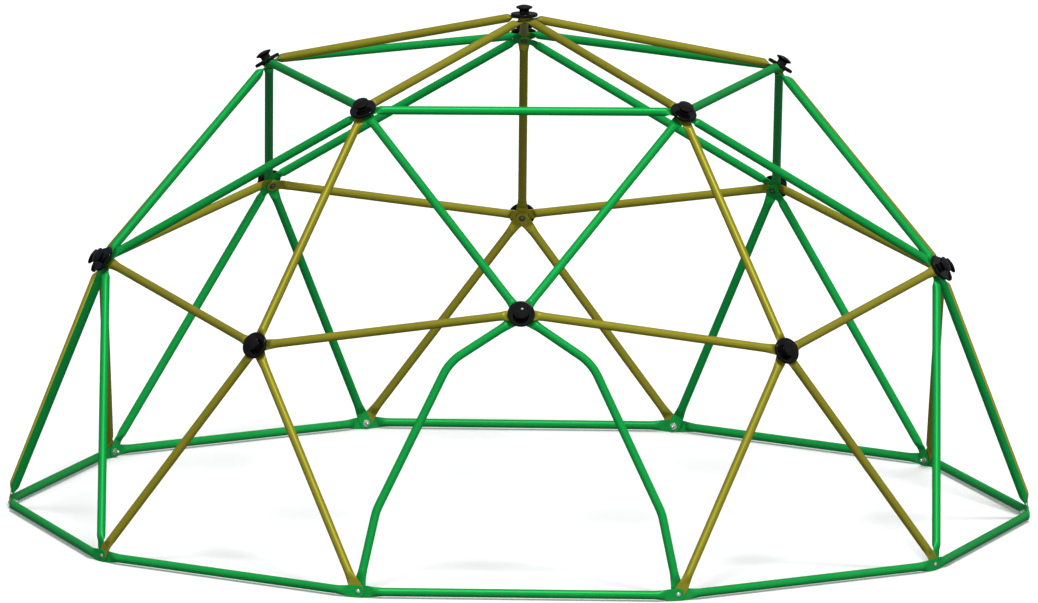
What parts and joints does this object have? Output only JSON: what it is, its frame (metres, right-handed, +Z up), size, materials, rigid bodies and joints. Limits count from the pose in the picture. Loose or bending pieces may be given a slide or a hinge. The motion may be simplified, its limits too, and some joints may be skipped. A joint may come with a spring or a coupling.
{
  "type": "dome climber",
  "caption": "Geodesic dome climbing frame of straight green and yellow tubes bolted through flattened ends, with black knobs on the raised joints and a wide arched doorway.",
  "frame": {"origin": "on the ground under the apex, at the middle of the ring of base hubs", "axes": "+Z up, doorway at -Y, +X to the right of someone facing the doorway"},
  "size_m": [3.0378, 2.9264, 1.5306],
  "materials": {
    "green_tube": "semi-gloss powder coat",
    "yellow_tube": "semi-gloss powder coat",
    "black_plastic": "gloss moulded plastic",
    "zinc_steel": "bright zinc plate"
  },
  "bodies": {
    "root": {"base_rail_01": "green_tube", "base_rail_02": "green_tube", "base_rail_03": "green_tube", "base_rail_04": "green_tube", "base_rail_05": "green_tube", "base_rail_06": "green_tube", "base_rail_07": "green_tube", "base_rail_08": "green_tube", "base_rail_09": "green_tube", "base_rail_10": "green_tube", "entry_tube_left": "green_tube", "entry_tube_right": "green_tube", "green_leg_pair_01": "green_tube", "green_leg_pair_02": "green_tube", "green_leg_pair_03": "green_tube", "green_leg_pair_04": "green_tube", "yellow_leg_pair_01": "yellow_tube", "yellow_leg_pair_02": "yellow_tube", "yellow_leg_pair_03": "yellow_tube", "yellow_leg_pair_04": "yellow_tube", "yellow_leg_pair_05": "yellow_tube", "middle_bar_01": "yellow_tube", "middle_bar_02": "yellow_tube", "middle_bar_03": "yellow_tube", "middle_bar_04": "yellow_tube", "middle_bar_05": "yellow_tube", "middle_bar_06": "yellow_tube", "middle_bar_07": "yellow_tube", "middle_bar_08": "yellow_tube", "middle_bar_09": "yellow_tube", "middle_bar_10": "yellow_tube", "upper_yellow_bar_01": "yellow_tube", "upper_yellow_bar_02": "yellow_tube", "upper_yellow_bar_03": "yellow_tube", "upper_yellow_bar_04": "yellow_tube", "upper_yellow_bar_05": "yellow_tube", "upper_green_pair_01": "green_tube", "upper_green_pair_02": "green_tube", "upper_green_pair_03": "green_tube", "upper_green_pair_04": "green_tube", "upper_green_pair_05": "green_tube", "upper_ring_bar_01": "green_tube", "upper_ring_bar_02": "green_tube", "upper_ring_bar_03": "green_tube", "upper_ring_bar_04": "green_tube", "upper_ring_bar_05": "green_tube", "apex_spoke_01": "yellow_tube", "apex_spoke_02": "yellow_tube", "apex_spoke_03": "yellow_tube", "apex_spoke_04": "yellow_tube", "apex_spoke_05": "yellow_tube", "apex_knob": "black_plastic", "upper_hub_knobs": "black_plastic", "middle_hub_knobs": "black_plastic", "knob_inserts": "zinc_steel", "hub_bolts": "zinc_steel", "hub_washers": "zinc_steel", "base_bolts": "zinc_steel", "base_washers": "zinc_steel", "base_acorn_nuts": "zinc_steel"}
  },
  "joints": []
}
